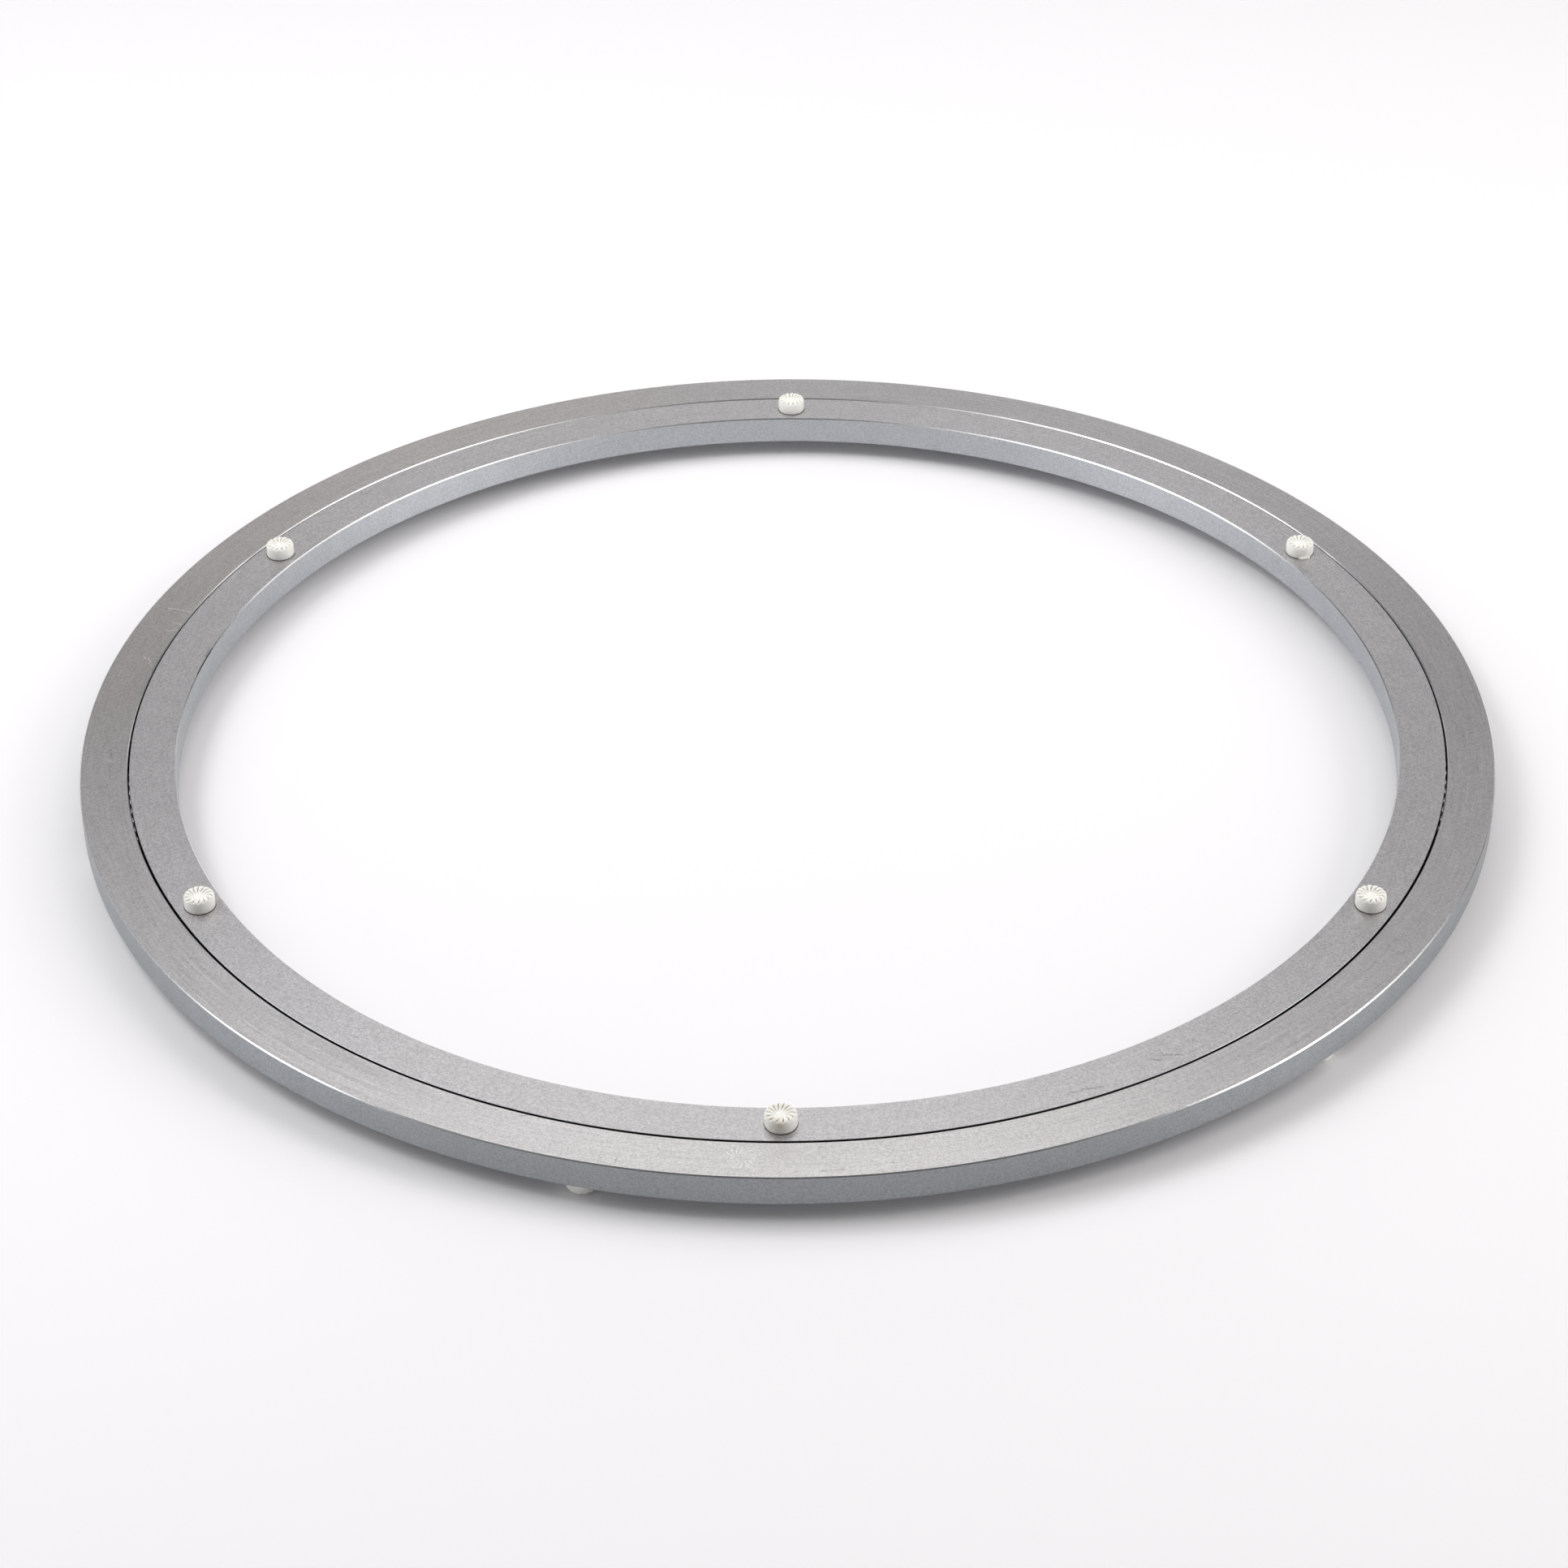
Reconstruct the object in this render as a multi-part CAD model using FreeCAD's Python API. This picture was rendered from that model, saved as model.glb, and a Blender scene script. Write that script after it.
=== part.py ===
"""Lazy susan bearing: two flat aluminium rings that turn on a full row of steel balls.

The outer ring stands on six moulded feet, the inner ring carries six moulded pads.
Millimetres, +Z up, origin on the floor under the feet, on the axis of rotation.
"""
import FreeCAD, Part
import os
from math import cos, sin, pi, radians, sqrt

# Rings
OUTER_DIAMETER = 400.0        # over the outer ring
OUTER_RING_WIDTH = 13.3       # radial width of the outer ring
INNER_RING_WIDTH = 12.9       # radial width of the inner ring
RING_GAP = 0.5                # the split between the rings, on the radius
RING_THICKNESS = 8.5          # both rings, flush with each other
OUTER_EDGE_CHAMFER = 0.45     # outer ring, top outside edge
SPLIT_EDGE_CHAMFER = 0.30     # outer ring, top edge at the split
BORE_EDGE_CHAMFER = 0.45      # inner ring, top edge of the bore

# Balls and races
BALL_DIAMETER = 4.5
BALL_PLAY = 0.03              # room between one ball and the next
RACE_CLEARANCE = 0.25         # from a ball to each face of its race
RACE_CONTACT_ANGLE = 45.0     # from the plane of the rings, for load and side play alike
BALL_SETS = 6                 # the row of balls in equal parts of a turn

# Filling hole for the balls, through the outer ring's wall
FILL_HOLE_CLEARANCE = 0.15    # on the radius, for a ball to pass
PLUG_CLEARANCE = 0.05         # on the radius, between the plug and its hole
PLUG_ANGLE = 90.0             # at the back of the ring

# Moulded pads and feet
PAD_COUNT = 6
PAD_RADIUS = 4.13
PAD_HEIGHT = 4.0              # pads on the inner ring
FOOT_HEIGHT = 5.0             # feet under the outer ring
PAD_ANGLE = -90.0             # the first pad, at the front
FOOT_ANGLE = -104.7           # the first foot, left of the front
PETALS = 14
PETAL_SHARE = 0.64            # of a petal's pitch, the rest is its groove
SHOULDER_DROP = 1.0           # from the crest to the top of the smooth side wall
CREST_OUTER_RADIUS = 3.25
CREST_INNER_RADIUS = 2.75
SHOULDER_TAPER = 0.10         # the wall draws in this far at its top
GROOVE_DEPTH = 0.55           # below the crest, at the middle of a groove
GROOVE_END_DROP = 1.30        # below the crest, where a groove leaves the side wall
DISH_RADIUS = 1.0
DISH_DEPTH = 0.75             # below the crest

# Stems of the pads and feet, and their blind holes
STEM_HOLE_DIAMETER = 4.0
STEM_HOLE_DEPTH = 5.0
STEM_CLEARANCE = 0.05         # on the radius
STEM_END_CLEARANCE = 0.4      # from the stem's end to the bottom of its hole
STEM_SIDES = 8

outer_radius = OUTER_DIAMETER / 2
outer_ring_inner_radius = outer_radius - OUTER_RING_WIDTH
inner_ring_outer_radius = outer_ring_inner_radius - RING_GAP
bore_radius = inner_ring_outer_radius - INNER_RING_WIDTH
pitch_radius = (outer_ring_inner_radius + inner_ring_outer_radius) / 2
ring_bottom = FOOT_HEIGHT
ring_top = ring_bottom + RING_THICKNESS
race_height = ring_bottom + RING_THICKNESS / 2
ball_radius = BALL_DIAMETER / 2
race_radius = ball_radius + RACE_CLEARANCE
fill_hole_radius = ball_radius + FILL_HOLE_CLEARANCE
foot_circle_radius = (outer_radius + outer_ring_inner_radius) / 2
pad_circle_radius = (inner_ring_outer_radius + bore_radius) / 2
pad_pitch = 360.0 / PAD_COUNT
stem_length = STEM_HOLE_DEPTH - STEM_END_CLEARANCE

AXIS = FreeCAD.Vector(0, 0, 1)
ORIGIN = FreeCAD.Vector(0, 0, 0)


def polar(radius, degrees, height):
    """A point from its distance to the Z axis, its angle and its height."""
    turn = radians(degrees)
    return FreeCAD.Vector(radius * cos(turn), radius * sin(turn), height)


def facet(points):
    """A flat face on the given corners."""
    return Part.Face(Part.makePolygon(list(points) + [points[0]]))


def closed_solid(faces):
    """A solid from flat faces that close on each other."""
    solid = Part.Solid(Part.Shell(faces))
    if solid.Volume < 0:
        solid.reverse()
    return solid


def turned(section):
    """A ring from its section, a list of (radius, height)."""
    return facet([FreeCAD.Vector(r, 0, z) for r, z in section]).revolve(ORIGIN, AXIS, 360)


def race_tool():
    """The turned void of both V races, whose four flanks clear the balls."""
    contact = radians(RACE_CONTACT_ANGLE)
    depth = race_radius / cos(contact)
    half_mouth = race_radius / sin(contact)
    return turned([
        (pitch_radius, race_height - half_mouth),
        (pitch_radius + depth, race_height),
        (pitch_radius, race_height + half_mouth),
        (pitch_radius - depth, race_height),
    ])


def stem_holes(circle_radius, first_angle, mouth, depth):
    """Six round blind holes; a negative depth runs down from the mouth."""
    hole = Part.makeCylinder(STEM_HOLE_DIAMETER / 2, abs(depth), ORIGIN, AXIS)
    hole.translate(FreeCAD.Vector(circle_radius, 0, min(mouth, mouth + depth)))
    return [hole.rotated(ORIGIN, AXIS, first_angle + i * pad_pitch) for i in range(PAD_COUNT)]


def wall_rod(radius, start_radius):
    """A radial rod at the level of the balls, from the given radius out past the outer ring."""
    start = FreeCAD.Vector(start_radius, 0, race_height)
    rod = Part.makeCylinder(radius, outer_radius + radius - start_radius, start, FreeCAD.Vector(1, 0, 0))
    return rod.rotated(ORIGIN, AXIS, PLUG_ANGLE)


def outer_ring():
    """The ring that stands still, with the outer race, foot holes and filling hole."""
    ring = turned([
        (outer_ring_inner_radius, ring_bottom),
        (outer_radius, ring_bottom),
        (outer_radius, ring_top - OUTER_EDGE_CHAMFER),
        (outer_radius - OUTER_EDGE_CHAMFER, ring_top),
        (outer_ring_inner_radius + SPLIT_EDGE_CHAMFER, ring_top),
        (outer_ring_inner_radius, ring_top - SPLIT_EDGE_CHAMFER),
    ])
    holes = stem_holes(foot_circle_radius, FOOT_ANGLE, ring_bottom, STEM_HOLE_DEPTH)
    return ring.cut([race_tool(), wall_rod(fill_hole_radius, pitch_radius)] + holes)


def inner_ring():
    """The ring that turns, with the inner race and the pad holes."""
    ring = turned([
        (bore_radius, ring_bottom),
        (inner_ring_outer_radius, ring_bottom),
        (inner_ring_outer_radius, ring_top),
        (bore_radius + BORE_EDGE_CHAMFER, ring_top),
        (bore_radius, ring_top - BORE_EDGE_CHAMFER),
    ])
    return ring.cut([race_tool()] + stem_holes(pad_circle_radius, PAD_ANGLE, ring_top, -STEM_HOLE_DEPTH))


def fill_plug():
    """The pin that closes the filling hole: flush with the wall, its flat end clear of the balls."""
    rod = wall_rod(fill_hole_radius - PLUG_CLEARANCE, pitch_radius + race_radius)
    return rod.common(Part.makeCylinder(outer_radius, ring_top))


def ball():
    """One ball at the origin, as the twenty-sided solid whose corners lie on the ball."""
    golden = (1 + sqrt(5)) / 2
    size = ball_radius / sqrt(1 + golden ** 2)
    corners = []
    for a in (-1, 1):
        for b in (-golden, golden):
            for x, y, z in ((0, a, b), (a, b, 0), (b, 0, a)):
                corners.append(FreeCAD.Vector(x, y, z) * size)
    edge = 2 * size * 1.01
    faces = []
    for i, p in enumerate(corners):
        near = [q for q in corners[i + 1:] if p.distanceToPoint(q) < edge]
        for j, q in enumerate(near):
            faces += [facet([p, q, r]) for r in near[j + 1:] if q.distanceToPoint(r) < edge]
    return closed_solid(faces)


def ball_set(index, count):
    """One sixth of the full row of balls."""
    step = 360.0 / (BALL_SETS * count)
    first = ball()
    first.translate(FreeCAD.Vector(pitch_radius, 0, race_height))
    return Part.makeCompound([
        first.rotated(ORIGIN, AXIS, (index * count + i + 0.5) * step) for i in range(count)
    ])


def stem():
    """The eight-sided stem below a pad's base; its corners grip the round hole."""
    radius = STEM_HOLE_DIAMETER / 2 - STEM_CLEARANCE
    corners = [polar(radius, i * 360.0 / STEM_SIDES, -stem_length) for i in range(STEM_SIDES)]
    return facet(corners).extrude(AXIS * stem_length)


def petal_faces(middle, pitch, height):
    """The faces of one petal and of the groove after it, from the base to the centre dish."""
    half = pitch * PETAL_SHARE / 2
    crest = height
    wall_top = height - SHOULDER_DROP
    outline = [
        (PAD_RADIUS, 0.0),
        (PAD_RADIUS - SHOULDER_TAPER, wall_top),
        (CREST_OUTER_RADIUS, crest),
        (CREST_INNER_RADIUS, crest),
    ]
    left = [polar(r, middle - half, z) for r, z in outline]
    right = [polar(r, middle + half, z) for r, z in outline]
    next_left = [polar(r, middle + pitch - half, z) for r, z in outline]
    dish = crest - DISH_DEPTH
    dish_before = polar(DISH_RADIUS, middle - pitch / 2, dish)
    dish_after = polar(DISH_RADIUS, middle + pitch / 2, dish)

    groove_end = height - GROOVE_END_DROP
    wall_radius = PAD_RADIUS - SHOULDER_TAPER * groove_end / wall_top
    chord = cos(radians(pitch / 2 - half))
    notch = polar(wall_radius * chord, middle + pitch / 2, groove_end)
    valley = polar(CREST_OUTER_RADIUS, middle + pitch / 2, crest - GROOVE_DEPTH)

    faces = [facet([left[i], right[i], right[i + 1], left[i + 1]]) for i in range(len(outline) - 1)]
    faces.append(facet([left[-1], right[-1], dish_after, dish_before]))
    faces.append(facet([right[0], next_left[0], next_left[1], notch, right[1]]))
    for side in (right, next_left):
        faces.append(facet([side[1], notch, valley]))
        faces.append(facet([side[1], valley, side[2]]))
        faces.append(facet([side[2], valley, side[3]]))
        faces.append(facet([side[3], valley, dish_after]))
    return faces, [left[0], right[0]], dish_before


def moulded_pad(height):
    """One moulding, crown up, its base on z = 0 and its stem below."""
    pitch = 360.0 / PETALS
    faces = []
    base = []
    dish = []
    for i in range(PETALS):
        petal, base_corners, dish_corner = petal_faces(i * pitch, pitch, height)
        faces += petal
        base += base_corners
        dish.append(dish_corner)
    faces.append(facet(base))
    faces.append(facet(dish))
    return closed_solid(faces).fuse(stem()).removeSplitter()


def top_pad(index):
    """A pad on the inner ring, crown up."""
    pad = moulded_pad(PAD_HEIGHT)
    pad.translate(FreeCAD.Vector(pad_circle_radius, 0, ring_top))
    return pad.rotated(ORIGIN, AXIS, PAD_ANGLE + index * pad_pitch)


def foot_pad(index):
    """A foot under the outer ring: the same moulding upside down, on the floor."""
    foot = moulded_pad(FOOT_HEIGHT).rotated(ORIGIN, FreeCAD.Vector(1, 0, 0), 180)
    foot.translate(FreeCAD.Vector(foot_circle_radius, 0, ring_bottom))
    return foot.rotated(ORIGIN, AXIS, FOOT_ANGLE + index * pad_pitch)


def save(shape, name):
    """Write one sub-part."""
    shape.exportStep("parts/" + name + ".step")


os.makedirs("parts", exist_ok=True)
save(outer_ring(), "outer_ring")
save(inner_ring(), "inner_ring")
save(fill_plug(), "fill_plug")
balls_in_a_set = int(2 * pi * pitch_radius / BALL_SETS / (BALL_DIAMETER + BALL_PLAY))
for number in range(BALL_SETS):
    save(ball_set(number, balls_in_a_set), "ball_set_%d" % (number + 1))
for number in range(PAD_COUNT):
    save(top_pad(number), "top_pad_%d" % (number + 1))
    save(foot_pad(number), "foot_pad_%d" % (number + 1))
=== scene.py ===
"""Lazy susan bearing: the finish of its rings, balls, pads and feet, and the studio round it.

Metres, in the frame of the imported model: +Z up, the floor at 0, the axis of rotation at the origin.
"""
from math import atan2, cos, hypot, pi, radians, sin, sqrt

import bpy
from bpy.props import FloatProperty, FloatVectorProperty, IntProperty, PointerProperty
from mathutils import Matrix, Vector


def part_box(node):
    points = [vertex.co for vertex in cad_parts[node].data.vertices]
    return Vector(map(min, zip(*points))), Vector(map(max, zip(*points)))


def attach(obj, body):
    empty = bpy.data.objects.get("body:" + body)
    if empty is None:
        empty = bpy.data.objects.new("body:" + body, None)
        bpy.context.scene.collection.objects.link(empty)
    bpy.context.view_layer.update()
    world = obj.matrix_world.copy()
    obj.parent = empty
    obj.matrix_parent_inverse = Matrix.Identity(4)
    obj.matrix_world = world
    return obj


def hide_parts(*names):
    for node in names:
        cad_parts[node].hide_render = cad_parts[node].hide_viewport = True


bl_info = {
    "name": "Lazy Susan Bearing",
    "version": (1, 0, 0),
    "blender": (4, 5, 0),
    "location": "View3D > Sidebar > Bearing",
    "description": "Two turned rings on a row of balls, with moulded pads and feet",
    "category": "Add Mesh",
}

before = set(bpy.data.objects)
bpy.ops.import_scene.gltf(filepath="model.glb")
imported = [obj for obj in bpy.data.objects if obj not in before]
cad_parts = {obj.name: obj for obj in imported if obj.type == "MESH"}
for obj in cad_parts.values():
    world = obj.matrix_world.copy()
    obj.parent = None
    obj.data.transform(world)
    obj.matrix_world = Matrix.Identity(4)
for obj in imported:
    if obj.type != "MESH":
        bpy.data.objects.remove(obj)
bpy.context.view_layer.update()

MM = 0.001


# Sizes read from the frame

def reach(name):
    """The least and greatest distance of a node's corners from the axis."""
    spans = [hypot(v.co.x, v.co.y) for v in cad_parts[name].data.vertices]
    return min(spans), max(spans)


def levels(name):
    """The lowest and highest level of a node."""
    low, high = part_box(name)
    return low.z, high.z


def place(name):
    """A node's centre in plan: its distance from the axis and its angle in radians."""
    low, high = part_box(name)
    centre = (low + high) / 2
    return hypot(centre.x, centre.y), atan2(centre.y, centre.x)


def nodes_named(start):
    """The names of the nodes of one kind, in order."""
    return sorted(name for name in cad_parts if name.startswith(start))


BALL_SETS = nodes_named("ball_set_")
TOP_PADS = nodes_named("top_pad_")
FOOT_PADS = nodes_named("foot_pad_")
BALL_FACETS = 20

split_outer, outer_radius = reach("outer_ring")
bore_radius, split_inner = reach("inner_ring")
ring_bottom, ring_top = levels("outer_ring")
ball_low, ball_high = levels(BALL_SETS[0])
race_level = (ball_low + ball_high) / 2
row_radius = (split_outer + split_inner) / 2
ball_count = sum(len(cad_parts[n].data.polygons) for n in BALL_SETS) // BALL_FACETS
pad_circle, pad_angle = place("top_pad_1")
foot_circle, foot_angle = place("foot_pad_1")
pad_crest = levels("top_pad_1")[1] - ring_top
foot_crest = ring_bottom - levels("foot_pad_1")[0]


# Sizes, colours and light that a user may change

def length(name, description, default):
    """A length in metres."""
    return FloatProperty(name=name, description=description, default=default, unit="LENGTH", precision=5)


def share(name, description, default):
    """A plain factor from nought to one."""
    return FloatProperty(name=name, description=description, default=default, min=0.0, max=1.0,
                         subtype="FACTOR")


def colour(name, description, default):
    """A colour in linear light."""
    return FloatVectorProperty(name=name, description=description, default=default, size=3,
                               min=0.0, max=1.0, subtype="COLOR")


def angle(name, description, default):
    """An angle given in degrees."""
    return FloatProperty(name=name, description=description, default=radians(default), unit="ROTATION")


def watts(name, description, default):
    """The strength of a light."""
    return FloatProperty(name=name, description=description, default=default, min=0.0, unit="POWER")


class BearingRings(bpy.types.PropertyGroup):
    """Edges, races and holes of the two rings."""

    edge: length("Edge chamfer", "Chamfer of the outer ring's top edge and of the bore", 0.31 * MM)
    split: length("Split chamfer", "Chamfer of the outer ring's top edge at the split", 0.30 * MM)
    under: length("Lower bevel", "Bevel of the lower edges", 0.25 * MM)
    race: length("Race reach", "From the middle of the row to the bottom of a V race", 3.5355 * MM)
    hole: length("Stem hole", "Radius of the blind holes for the stems", 2.0 * MM)
    hole_depth: length("Stem hole depth", "Depth of the blind holes for the stems", 5.0 * MM)
    steps: IntProperty(name="Steps", description="Steps in a turn of a ring", default=720, min=90)


class BearingBalls(bpy.types.PropertyGroup):
    """The full row of balls."""

    count: IntProperty(name="Balls", description="Balls in the row", default=ball_count, min=3)
    radius: length("Ball radius", "Radius of one ball", 2.25 * MM)


class BearingPads(bpy.types.PropertyGroup):
    """The moulded pads and feet."""

    radius: length("Pad radius", "Radius of a pad at its base", 4.13 * MM)
    petals: IntProperty(name="Petals", description="Petals round the crown of a pad", default=14, min=3)
    groove: length("Groove depth", "Depth of a groove between petals at the crest", 0.62 * MM)
    crest_radius: length("Crest radius", "Distance of the petals' crest from the middle of a pad", 3.05 * MM)
    shoulder: length("Shoulder", "Drop of the petals from the crest to the wall", 1.05 * MM)
    dish: length("Dish depth", "From the crest of the petals to the bottom of the dish", 0.75 * MM)
    dish_radius: length("Dish radius", "Radius of the smooth bottom of the dish", 0.95 * MM)
    rebate: length("Rebate", "Step at the base that shows as a dark line", 0.28 * MM)
    swirl: angle("Swirl", "How far a groove turns on its way from the middle to the wall", 20.0)
    stem: length("Stem radius", "Radius of the stem under a pad", 1.95 * MM)
    stem_length: length("Stem length", "Length of the stem under a pad", 4.6 * MM)


class BearingFinish(bpy.types.PropertyGroup):
    """Colours and roughness."""

    turned: colour("Turned aluminium", "Top of the outer ring", (0.625, 0.609, 0.613))
    blasted: colour("Blasted aluminium", "Top of the inner ring", (0.575, 0.56, 0.571))
    # Painted shade: walls and bore are one finish, and the outer wall is given the darker colour
    wall: colour("Wall aluminium", "Wall and underside of the outer ring", (0.352, 0.368, 0.383))
    bore: colour("Bore aluminium", "Bore and underside of the inner ring", (0.495, 0.512, 0.535))
    cut: colour("Cut aluminium", "Bright chamfers", (0.78, 0.78, 0.79))
    # Painted shade, with oil: the races and blind holes are given this near-black colour for the dark split
    # and holes
    race: colour("Race", "Oiled races inside the split", (0.07, 0.065, 0.06))
    steel: colour("Ball steel", "Balls", (0.80, 0.80, 0.80))
    pad: colour("Pad plastic", "Ivory plastic of pads and feet", (0.965, 0.955, 0.905))
    # Painted shade: the dark line round the foot of each pad
    seat_shade_inner: length("Seat line inside", "Inner radius of the dark line round a pad", 3.9 * MM)
    seat_shade_outer: length("Seat line outside", "Outer radius of the dark line round a pad", 4.42 * MM)
    turned_roughness: share("Turned roughness", "Roughness of the outer ring's top", 0.34)
    blasted_roughness: share("Blasted roughness", "Roughness of the inner ring's top", 0.40)
    wall_roughness: share("Wall roughness", "Roughness of the rings' walls", 0.45)
    turned_brushing: share("Turned brushing", "How far lines draw out a highlight on the outer top", 0.6)
    blasted_brushing: share("Blasted brushing", "How far lines draw out a highlight on the inner top", 0.44)
    wall_brushing: share("Wall brushing", "How far lines draw out a highlight on the walls", 0.65)


class BearingStudio(bpy.types.PropertyGroup):
    """Camera, floor and lights."""

    distance: length("Camera distance", "From the camera to the point that it looks at", 1.03594)
    elevation: angle("Camera elevation", "Height of the camera above the rings' top", 34.916)
    turn: angle("Camera turn", "Turn of the camera round the axis", 0.8)
    roll: angle("Camera roll", "Roll of the camera about its view", -0.527)
    lens: FloatProperty(name="Focal length", description="On a 36 mm sensor", default=85.42,
                        subtype="DISTANCE_CAMERA")
    left: watts("Left bank", "Softboxes on the left", 15.0)
    right: watts("Right bank", "Softboxes on the right", 10.7)
    low_left: watts("Low left bank", "Softboxes low on the left", 4.5)
    low_right: watts("Low right bank", "Softbox low on the right", 4.6)
    back: watts("Back bank", "Softboxes behind the bearing", 4.35)
    top: watts("Top bank", "Small near softboxes overhead", 1.95)
    room: share("Room light", "Strength of the even light from the room", 0.12)
    reach: length("Light distance", "From the large softboxes to the axis", 1.6)
    near: length("Top light distance", "From the small softboxes overhead to the axis", 0.9)
    floor: colour("Floor", "Pale floor", (0.985, 0.97, 0.985))


PROPERTY_GROUPS = {
    "bearing_rings": BearingRings,
    "bearing_balls": BearingBalls,
    "bearing_pads": BearingPads,
    "bearing_finish": BearingFinish,
    "bearing_studio": BearingStudio,
}


# Nodes, and sums made with them

NOISE_SPAN = (0.3, 0.7)
FLOAT = "NodeSocketFloat"
VECTOR = "NodeSocketVector"
COUNT = "NodeSocketInt"
GEOMETRY = "NodeSocketGeometry"
MATERIAL = "NodeSocketMaterial"


def connect(made, inputs):
    """Sets the inputs of a node to values, or links them to other sockets."""
    for key, value in inputs.items():
        if isinstance(value, bpy.types.NodeSocket):
            made.id_data.links.new(value, made.inputs[key])
        else:
            made.inputs[key].default_value = value


def node(tree, kind, inputs=None, **settings):
    """A node with its settings and inputs."""
    made = tree.nodes.new(kind)
    for key, value in settings.items():
        setattr(made, key, value)
    connect(made, inputs or {})
    return made


def beside(kind, inputs, **settings):
    """A node in the tree that the sockets among its inputs are in."""
    tree = next(value.id_data for value in inputs.values() if isinstance(value, bpy.types.NodeSocket))
    return node(tree, kind, inputs, **settings)


def calc(operation, *values, clamp=False):
    """The result of a Math node."""
    made = beside("ShaderNodeMath", dict(enumerate(values)), operation=operation, use_clamp=clamp)
    return made.outputs[0]


def add(first, second, clamp=False):
    """The sum of two values."""
    return calc("ADD", first, second, clamp=clamp)


def less(first, second):
    """The first value less the second."""
    return calc("SUBTRACT", first, second)


def times(first, second):
    """The product of two values."""
    return calc("MULTIPLY", first, second)


def over(first, second):
    """The first value divided by the second."""
    return calc("DIVIDE", first, second)


def slope(x, y):
    """The length that goes x one way and y across it."""
    return calc("SQRT", add(times(x, x), times(y, y)))


def vector_calc(operation, *values, scale=None):
    """The result of a Vector Math node."""
    inputs = dict(enumerate(values))
    if scale is not None:
        inputs["Scale"] = scale
    made = beside("ShaderNodeVectorMath", inputs, operation=operation)
    return made.outputs["Value" if operation in ("DOT_PRODUCT", "LENGTH", "DISTANCE") else "Vector"]


def joined(x, y, z):
    """A vector from its three parts."""
    return beside("ShaderNodeCombineXYZ", {0: x, 1: y, 2: z}).outputs[0]


def parted(vector):
    """The three parts of a vector."""
    return beside("ShaderNodeSeparateXYZ", {0: vector}).outputs


def flattened(vector):
    """A vector with its height taken away."""
    return vector_calc("MULTIPLY", vector, (1.0, 1.0, 0.0))


def remap(value, low, high, new_low=0.0, new_high=1.0, smooth=False):
    """A value carried from one span to another and held inside it."""
    kind = "SMOOTHSTEP" if smooth else "LINEAR"
    inputs = {"Value": value, "From Min": low, "From Max": high, "To Min": new_low, "To Max": new_high}
    return beside("ShaderNodeMapRange", inputs, interpolation_type=kind).outputs[0]


def swing(value, low, high):
    """The usual span of a noise carried to another span."""
    return remap(value, *NOISE_SPAN, low, high)


def noise(vector, scale, detail=2.0, rough=0.5):
    """Noise from nought to one over a vector in millimetres."""
    inputs = {"Vector": vector, "Scale": scale, "Detail": detail, "Roughness": rough}
    return beside("ShaderNodeTexNoise", inputs).outputs["Fac"]


def blend(factor, first, second, mode="MIX"):
    """Two colours mixed by a factor."""
    first, second = [c if isinstance(c, bpy.types.NodeSocket) else (*c, 1.0) for c in (first, second)]
    inputs = {0: factor, 6: first, 7: second}
    return beside("ShaderNodeMix", inputs, data_type="RGBA", blend_type=mode).outputs[2]


def petal_waves(turn, petals):
    """Waves round an axis, nought between two petals and one on the middle of each."""
    return calc("ABSOLUTE", calc("SINE", times(turn, times(petals, 0.5))))


def band(span, inner, outer, inner_blur, outer_blur):
    """A mask from one distance to another, with soft edges."""
    inside = remap(less(outer, span), 0.0, outer_blur, smooth=True)
    outside = remap(less(span, inner), 0.0, inner_blur, smooth=True)
    return times(inside, outside)


def most(masks):
    """The strongest of several masks."""
    result = masks[0]
    for mask in masks[1:]:
        result = calc("MAXIMUM", result, mask)
    return result


def new_group(name, inputs, outputs, kind="ShaderNodeTree"):
    """A node group with its sockets, and the sockets inside it that bring its inputs."""
    tree = bpy.data.node_groups.new(name, kind)
    for way, sockets in (("INPUT", inputs), ("OUTPUT", outputs)):
        for socket_name, socket_kind, *default in sockets:
            socket = tree.interface.new_socket(socket_name, in_out=way, socket_type=socket_kind)
            if default:
                socket.default_value = default[0]
    return tree, tree.nodes.new("NodeGroupInput").outputs


def give(tree, results):
    """Sends results out of a node group."""
    node(tree, "NodeGroupOutput", results)


def place_group(tree, name, **inputs):
    """The outputs of a node group placed in a tree; underscores in the keys stand for spaces."""
    inputs = {key.replace("_", " "): value for key, value in inputs.items()}
    return node(tree, "ShaderNodeGroup", inputs, node_tree=bpy.data.node_groups[name]).outputs


# Node groups of the finishes, which count in millimetres

PRINT_LEAN = 0.16
PRINT_BLUR = 0.5
SEAT_SHADE_BLURS = (0.1, 0.2)
CLOUD_SCALE = 0.16


def ring_place_group():
    """Where a point of the bearing is: its place, and its distance from the axis."""
    tree, _ = new_group("Ring place", [], [("Place", VECTOR), ("Out", FLOAT)])
    coordinates = node(tree, "ShaderNodeTexCoord")
    in_mm = vector_calc("SCALE", coordinates.outputs["Object"], scale=1 / MM)
    give(tree, {"Place": in_mm, "Out": vector_calc("LENGTH", flattened(in_mm))})


def lathe_lines_group():
    """Fine lines round the axis, long along the cut and narrow across it, from nought to one."""
    sockets = [("Place", VECTOR), ("Out", FLOAT), ("Width", FLOAT, 0.25), ("Length", FLOAT, 30.0)]
    tree, given = new_group("Lathe lines", sockets, [("Lines", FLOAT)])
    across = over(given["Out"], given["Width"])
    stretch = joined(given["Length"], given["Length"], given["Length"])
    x, y, _ = parted(vector_calc("DIVIDE", given["Place"], stretch))
    give(tree, {"Lines": noise(joined(x, y, across), 1.0, detail=3.0, rough=0.65)})


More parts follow.
